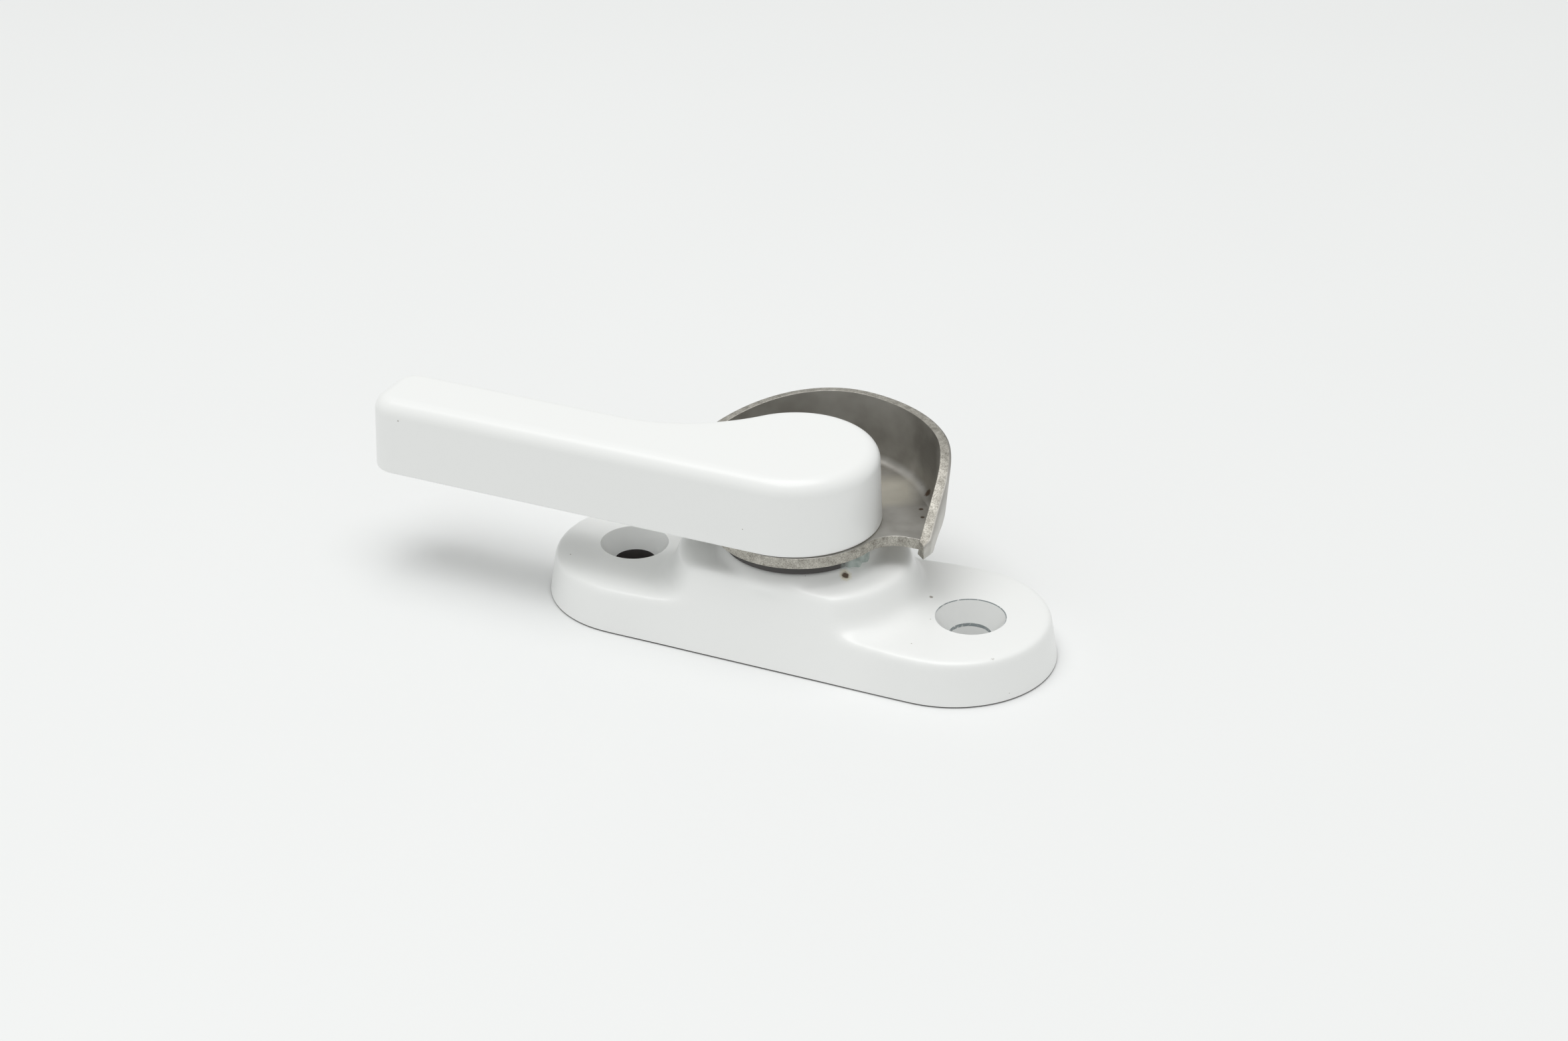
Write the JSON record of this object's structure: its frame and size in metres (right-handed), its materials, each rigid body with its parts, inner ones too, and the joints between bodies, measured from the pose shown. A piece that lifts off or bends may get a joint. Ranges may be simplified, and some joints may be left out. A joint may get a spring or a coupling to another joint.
{
  "type": "crescent sash lock",
  "caption": "Crescent lock for sliding sashes: a lever on a cast base turns a stamped hook whose upright curved wall draws in a keeper.",
  "frame": {"origin": "on the mounting face, on the spindle's axis, midway between the two screw holes", "axes": "+Z away from the sash along the spindle, +X along the base away from the lever's arm at rest, +Y towards the keeper"},
  "size_m": [0.0892, 0.034, 0.0243],
  "materials": {
    "painted_zinc": "gloss white powder coat on a zinc casting",
    "stainless_sheet": "satin stainless sheet with bright sheared edges",
    "pale_nylon": "pale translucent moulded plastic",
    "plated_steel": "bright zinc plate",
    "spring_steel": "oiled spring steel",
    "bush_brass": "turned brass"
  },
  "bodies": {
    "base": {"base_housing": "painted_zinc", "pivot_bush": "bush_brass", "friction_washer": "pale_nylon", "thrust_washer": "plated_steel", "wave_washer": "spring_steel", "detent_spring": "spring_steel"},
    "lever": {"lever_handle": "painted_zinc", "crescent_hook": "stainless_sheet", "pivot_spindle": "plated_steel", "detent_cam": "plated_steel", "stop_plate": "plated_steel", "lock_washer": "spring_steel", "retaining_screw": "plated_steel"}
  },
  "joints": [
    {"name": "lever_turn", "type": "hinge", "parent": "base", "child": "lever", "pos_m": [0, 0, 0], "axis": [0, 0, 1], "range_deg": [0, 180], "deforming": ["detent_spring"]}
  ]
}
